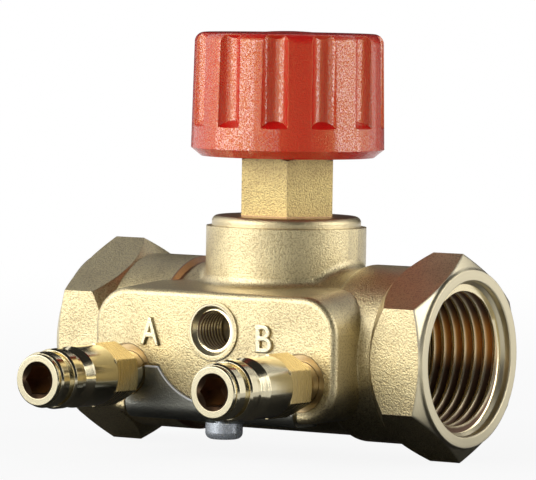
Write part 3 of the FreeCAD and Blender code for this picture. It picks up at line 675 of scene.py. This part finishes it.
# A painted reflection of the red handwheel on the flange's top.
turned_colour = finish.colours(turned_colour, knob_reflection_red, top * 0.8)
height = grain * hexagon + (rings * 0.15 + grain * 0.6) * (1 - hexagon)
finish.feed(finish.surface, {
    "Base Color": finish.colours(turned_colour, golden_skin, hexagon),
    "Roughness": skin_rough * hexagon + (0.3 + 0.1 * rings) * (1 - hexagon),
    "Normal": finish.relief(height, 0.16, finish.rounded(0.25)),
})
dress(finish, "headpiece")

# %% [markdown]
# ## Test nipples
# The nipples are turned from drawn bar and left bright. Their hexagon keeps the bar's drawn skin, a
# little more golden and rougher, and all the rest has fine turning marks that run round the axis.
# The marks depend on the distance along the axis and on the radius, so faces and cylinders both
# show them the right way.

# %% Nipple finish
bar_start, bar_radius, socket_radius = 3.4, 4.95, 3.3
nipple_bright, nipple_dull = (0.90, 0.83, 0.60, 1), (0.76, 0.65, 0.40, 1)
bar_golden, bar_brown = (0.82, 0.67, 0.36, 1), (0.74, 0.58, 0.28, 1)
socket_shade_dark = (0.20, 0.10, 0.05, 1)

finish = new_finish("turned_nipple_brass", Metallic=1.0)
spot = finish.place()
x, y, z = finish.parts(spot)
axis_distance = finish.length(abs(x - middle_mm) - nipple_offset_mm, z - nipple.z / mm)
bar_length = y.over(nipple.y / mm + bar_start, 0.1) * y.under(boss_face_mm - 0.1, 0.1)
hexagon = bar_length * axis_distance.over(bar_radius, 0.1)
socket = axis_distance.under(socket_radius, 0.1)

marks = finish.lines(y + axis_distance, x * 0.01, size=0.14, detail=4.0)
drawn = finish.lines(x + z, y * 0.15, size=0.25)
clouds = finish.noise(spot, size=5.0)
turned_colour = finish.colours(nipple_bright, nipple_dull, marks * 0.6 + clouds * 0.3)
# Painted shade inside the socket.
turned_colour = finish.colours(turned_colour, socket_shade_dark, socket * 0.9)
drawn_colour = finish.colours(bar_golden, bar_brown, drawn)
height = marks * (1 - hexagon) * 0.5 + drawn * hexagon * 0.2
finish.feed(finish.surface, {
    "Base Color": finish.colours(turned_colour, drawn_colour, hexagon),
    "Roughness": 0.11 + 0.08 * marks + 0.12 * hexagon + 0.16 * socket,
    "Normal": finish.relief(height, 0.012, finish.rounded(0.12)),
})
dress(finish, "nipple_a", "nipple_b")

# %% [markdown]
# ## Red handwheel
# The handwheel and its cap are moulded in a glass-filled red plastic. The mould is eroded, so the
# skin has a fine even grain that breaks the highlight into a broad orange sheen. Only the highest
# grains carry a clear coat, so they sparkle where a lamp meets them. The flow of the melt leaves
# faint clouds.

# %% Moulded red plastic
signal_red, deep_red = (0.80, 0.008, 0.008, 1), (0.60, 0.005, 0.006, 1)
sheen_tint = (1.0, 0.92, 0.34, 1)
finish = new_finish(
    "red_moulding", IOR=1.56, Specular_IOR_Level=1.0, Specular_Tint=sheen_tint,
    Coat_IOR=2.1, Coat_Roughness=0.1,
)
spot = finish.place()
grain = finish.noise(spot, size=0.23, rough=0.6)
clouds = finish.noise(spot, size=7.0)
finish.feed(finish.surface, {
    "Base Color": finish.colours(signal_red, deep_red, clouds * 0.5 + grain * 0.5),
    "Roughness": 0.12 + 0.08 * grain,
    "Coat Weight": grain.over(0.53, 0.14),
    "Normal": finish.relief(grain, 0.10, finish.rounded(0.3)),
})
dress(finish, "knob", "knob_cap")

# %% [markdown]
# ## Cover plate
# The plate is punched from rolled, galvanised sheet: dark grey with fine rolling lines along the
# plate. Its sheared edges are painted nearly white, a painted highlight where they catch the light.
# The edge follows an arc round the port, and its radius is measured on the plate's own mesh, so the
# bright line lies on the edge whatever its size.

# %% Rolled steel sheet
plate_low, plate_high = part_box("cover_plate")
plate_arc_middle = Vector((middle.x - 0.8 * mm, 0, impulse.z))
plate_arc_radius = min(
    math.hypot(point.co.x - plate_arc_middle.x, point.co.z - plate_arc_middle.z)
    for point in frame["nodes"]["cover_plate"].data.vertices
)
print("arc of the plate has a radius of", round(plate_arc_radius / mm, 2), "mm")

edge_width, bend_height, skin_depth = 0.3, 2.5, 0.08
sheet_light, sheet_dark = (0.48, 0.48, 0.42, 1), (0.24, 0.24, 0.205, 1)
edge_highlight_white = (0.85, 0.85, 0.84, 1)
finish = new_finish("rolled_sheet", Metallic=1.0)
spot = finish.place()
x, y, z = finish.parts(spot)
arc_distance = finish.length(x - plate_arc_middle.x / mm, z - plate_arc_middle.z / mm)
arc_edge = arc_distance.under(plate_arc_radius / mm + edge_width, 0.2)
top_edge = z.over(plate_high.z / mm - edge_width, 0.2)
upright_leg = z.over(plate_low.z / mm + bend_height, 0.5)
behind_skin = y.over(plate_low.y / mm + skin_depth, 0.05)
# The bright edges are a painted highlight.
sheared_edge_highlight = arc_edge | top_edge | upright_leg * behind_skin

rolling = finish.lines(z + y, x * 0.04, size=0.2, detail=4.0)
speckle = finish.noise(spot, size=0.3)
spangle = finish.noise(spot, size=3.5, detail=3.0)
dull = finish.colours(sheet_light, sheet_dark, rolling * 0.6 + spangle * 0.5)
finish.feed(finish.surface, {
    "Base Color": finish.colours(dull, edge_highlight_white, sheared_edge_highlight),
    "Roughness": 0.34 + 0.14 * rolling,
    "Metallic": 1 - 0.7 * sheared_edge_highlight,
    "Normal": finish.relief(rolling * 0.2 + speckle, 0.06, finish.rounded(0.15)),
})
dress(finish, "cover_plate")

# %% [markdown]
# ## Screws, springs and inner brass
# The screws are zinc plated, a little bluish and finely speckled. The springs are bright wire, and
# the pieces inside are turned brass. Only their colours, their shine and how fine the speckle is
# tell them apart, so one helper makes all three.

# %% Zinc plating, spring wire and the inner brass
def speckled_metal(name, bright, dull, size, rough, edge, metallic=1.0):
    finish = new_finish(name, Metallic=metallic)
    speckle = finish.noise(finish.place(), size, detail=3.0)
    finish.feed(finish.surface, {
        "Base Color": finish.colours(bright, dull, speckle),
        "Roughness": rough + 0.12 * speckle,
        "Normal": finish.relief(speckle, 0.01, finish.rounded(edge)),
    })
    return finish


zinc_plating = speckled_metal(
    "zinc_plating", (0.86, 0.90, 0.95, 1), (0.60, 0.65, 0.72, 1),
    size=0.5, rough=0.22, edge=0.2, metallic=0.65,
)
spring_wire = speckled_metal(
    "spring_wire", (0.60, 0.61, 0.62, 1), (0.40, 0.41, 0.43, 1), size=0.3, rough=0.25, edge=0.02
)
inner_brass = speckled_metal(
    "inner_brass", (0.82, 0.66, 0.34, 1), (0.62, 0.44, 0.19, 1), size=0.8, rough=0.18, edge=0.08
)
dress(zinc_plating, "plate_screw", "knob_screw")
dress(spring_wire, spring_a, spring_b, "cone_clip")
dress(
    inner_brass, "spindle", "valve_cone", "cone_nut",
    "poppet_a", "poppet_b", "spring_stop_a", "spring_stop_b",
)

# %% [markdown]
# ## Rubber
# Washer and O-rings are black rubber with a matt, slightly dusty skin. One flat black would look
# like a hole, so a fine noise lightens it in spots and makes those spots duller.

# %% Rubber finish
rubber_black, rubber_dusty = (0.012, 0.012, 0.013, 1), (0.035, 0.034, 0.033, 1)
finish = new_finish("black_rubber", IOR=1.5)
dust = finish.noise(finish.place(), size=0.6, detail=3.0)
finish.feed(finish.surface, {
    "Base Color": finish.colours(rubber_black, rubber_dusty, dust),
    "Roughness": 0.55 + 0.2 * dust,
    "Normal": finish.relief(dust, 0.01, finish.rounded(0.05)),
})
dress(
    finish, "headpiece_seal", "nipple_seal_a", "nipple_seal_b", "cone_washer",
    "spindle_ring_lower", "spindle_ring_upper", "poppet_ring_a", "poppet_ring_b",
)

# %% [markdown]
# ## Camera
# The photograph was taken from the front right, about a third of a right angle round and almost
# level, with a long lens. The angles and the distance were found from the hexagons' corners, so the
# camera is built from them: where it looks, how far it is, and a small roll. The focal length was
# found in pixels of the photograph, and the sensor's width turns it into the lens.

# %% The photograph's camera
camera_azimuth = math.radians(33.902)
camera_height = math.radians(2.972)
camera_roll = math.radians(0.88)
camera_distance = 963.0 * mm
sensor_width, focal_pixels, photo_width = 36, 5312.6, 536
aim = Vector((middle.x - 3.965 * mm, 0, 19.3 * mm))

back = Vector((
    math.sin(camera_azimuth) * math.cos(camera_height),
    -math.cos(camera_azimuth) * math.cos(camera_height),
    math.sin(camera_height),
))
level = Vector((math.cos(camera_azimuth), math.sin(camera_azimuth), 0))
upright = back.cross(level)
right = math.cos(camera_roll) * level + math.sin(camera_roll) * upright
upward = math.cos(camera_roll) * upright - math.sin(camera_roll) * level

start_piece()
bpy.ops.object.camera_add()
camera = bpy.context.object
camera.name = "photo_camera"
camera.data.sensor_width = sensor_width
camera.data.lens = sensor_width * focal_pixels / photo_width
camera.data.clip_start, camera.data.clip_end = 0.01, 20
camera_place = Matrix.Translation(aim + back * camera_distance)
camera_turn = Matrix((right, upward, back)).transposed().to_4x4()
camera.matrix_world = camera_place @ camera_turn
bpy.context.scene.camera = camera
print("camera at", tuple(round(v, 3) for v in camera.location))

# %% [markdown]
# ## Light
# Metal looks like what it mirrors. The reflections in the photograph show two soft boxes, a bright
# one to the left of the camera and one to the right behind the object. Small lamps would draw hard
# points on the brass, so two large area lamps stand in for them. Each gets its power from its
# area, so a larger box is not a dimmer one.

# %% Soft boxes
set_centre = Vector((middle.x, 0, 15 * mm))
lamp_distance = 1.0
watts_per_square_metre = 4


def aimed(azimuth, height, distance):
    """A place around the object, and the turn that makes something there face it."""
    azimuth, height = math.radians(azimuth), math.radians(height)
    out = Vector((
        math.cos(azimuth) * math.cos(height), math.sin(azimuth) * math.cos(height), math.sin(height)
    ))
    return set_centre + out * distance, out.to_track_quat("Z", "Y").to_euler()


def soft_box(name, azimuth, height, wide, high, brightness):
    place, turn = aimed(azimuth, height, lamp_distance)
    start_piece()
    bpy.ops.object.light_add(type="AREA", location=place, rotation=turn)
    lamp = bpy.context.object
    lamp.name = name
    lamp.data.shape = "RECTANGLE"
    lamp.data.size, lamp.data.size_y = wide, high
    lamp.data.energy = watts_per_square_metre * wide * high * brightness
    lamp.visible_camera = False
    print(name, "gives", round(lamp.data.energy, 2), "W")


soft_box("left_soft_box", azimuth=-125, height=14, wide=1.05, high=1.1, brightness=2.03)
soft_box("right_soft_box", azimuth=21, height=14, wide=0.72, high=1.0, brightness=1.5)

# %% [markdown]
# ## Black cards
# Behind the camera and above, the photograph's set is dark, and that draws the dark bands on
# turned brass. Black cards stand there. Only reflections see them, so they take no light away. The
# smallest card lies under the valve, which keeps its underside dark.

# %% Black cards
card_black, card_grey = (0.012, 0.012, 0.013, 1), (0.02, 0.02, 0.021, 1)
card_paint = new_finish("black_card", Roughness=0.9)
card_place = card_paint.node("ShaderNodeTexCoord", output="Object")
card_fibre = card_paint.noise(card_place, size=0.01)
card_paint.feed(card_paint.surface, {
    "Base Color": card_paint.colours(card_black, card_grey, card_fibre),
})


def black_card(name, azimuth, height, wide, high, distance=1.25, aside=0.0):
    place, turn = aimed(azimuth, height, distance)
    place.x += aside
    start_piece()
    bpy.ops.mesh.primitive_plane_add(size=1, location=place, rotation=turn)
    card = bpy.context.object
    card.name = name
    card.scale = (wide, high, 1)
    bpy.ops.object.transform_apply(location=True, rotation=True, scale=True)
    card.visible_camera = card.visible_diffuse = card.visible_shadow = False
    dress(card_paint, card)


black_card("card_behind_camera", azimuth=-47, height=20, wide=0.95, high=1.6)
black_card("card_above", azimuth=-90, height=89, wide=2.2, high=2.2)
black_card("card_right", azimuth=-12, height=20, wide=0.7, high=1.6)
black_card("card_back", azimuth=112, height=14, wide=2.0, high=1.1)
just_below_valve = set_centre.z - floor_height + 0.01 * mm
black_card(
    "card_below", azimuth=0, height=-90, wide=0.15, high=0.17,
    distance=just_below_valve, aside=-20 * mm,
)

# %% [markdown]
# ## Floor
# The object stands on a plain pale floor that fades into white. It could be a curved backdrop, but
# a large disc does: near the object the camera sees nine tenths white glow and one tenth lit
# paper, which keeps a faint shadow, and far away glow alone. In a reflection the floor near the
# object is dimmer than in the picture, and only far away it is white.

# %% Floor
floor_radius, floor_rim = 4, 3.0
floor_gap = 0.02 * mm
start_piece()
bpy.ops.mesh.primitive_circle_add(
    vertices=96, radius=floor_radius, fill_type="NGON",
    location=(middle.x, 0, floor_height - floor_gap),
)
floor = bpy.context.object
floor.name = "floor"
bpy.ops.object.mode_set(mode="EDIT")
bpy.ops.mesh.select_all(action="SELECT")
bpy.ops.mesh.inset(thickness=floor_rim)
bpy.ops.object.mode_set(mode="OBJECT")
bpy.ops.object.transform_apply(location=True, rotation=True, scale=True)


def seen_rays(finish, mirrored=1.0):
    """1 for rays from the camera or through glass, and the given value for reflections."""
    ray = finish.node("ShaderNodeLightPath", output="Is Camera Ray")
    return ray | ray.out("Is Transmission Ray") | ray.out("Is Glossy Ray") * mirrored


paper_white, paper_grey = (0.86, 0.86, 0.86, 1), (0.82, 0.82, 0.82, 1)
fade_middle, fade_width = 330, 500  # millimetres from the valve
finish = new_finish("pale_floor", Roughness=0.75)
spot = finish.place()
x, y = finish.parts(spot)[:2]
paper = finish.noise(spot, size=2.0, detail=3.0)
finish.feed(finish.surface, {"Base Color": finish.colours(paper_white, paper_grey, paper)})
far = finish.length(x - middle_mm, y).over(fade_middle, fade_width)
lit = Number(finish, finish.surface.outputs[0])
glow = finish.node("ShaderNodeEmission", {}, {"Color": (1, 1, 1, 1), "Strength": 1.0})
shown = finish.shaders(lit, glow, (0.9 + 0.1 * far) * seen_rays(finish, 0.3 + 0.7 * far))
finish.feed(finish.tree.nodes["Material Output"], {"Surface": shown})
dress(finish, floor)

# %% [markdown]
# ## Background
# The camera and the reflections see the background as white, while the light that the surroundings
# throw on the object stays dim, so the lamps alone shape it and the floor keeps its shadow.

# %% World
world = bpy.data.worlds.new("studio")
bpy.context.scene.world = world
world.use_nodes = True
sky = Finish(world.node_tree)
room = sky.node("ShaderNodeBackground", {}, {"Color": (0.9, 0.95, 1.0, 1), "Strength": 0.35})
white = sky.node("ShaderNodeBackground", {}, {"Color": (1, 1, 1, 1), "Strength": 1.0})
shown = sky.shaders(room, white, seen_rays(sky))
sky.feed(sky.tree.nodes["World Output"], {"Surface": shown})
bpy.context.scene.view_settings.view_transform = "Standard"
print("world has", len(sky.tree.nodes), "nodes")

# %% [markdown]
# ## The construction model's box
# The dressed model must stay inside the construction model's box.
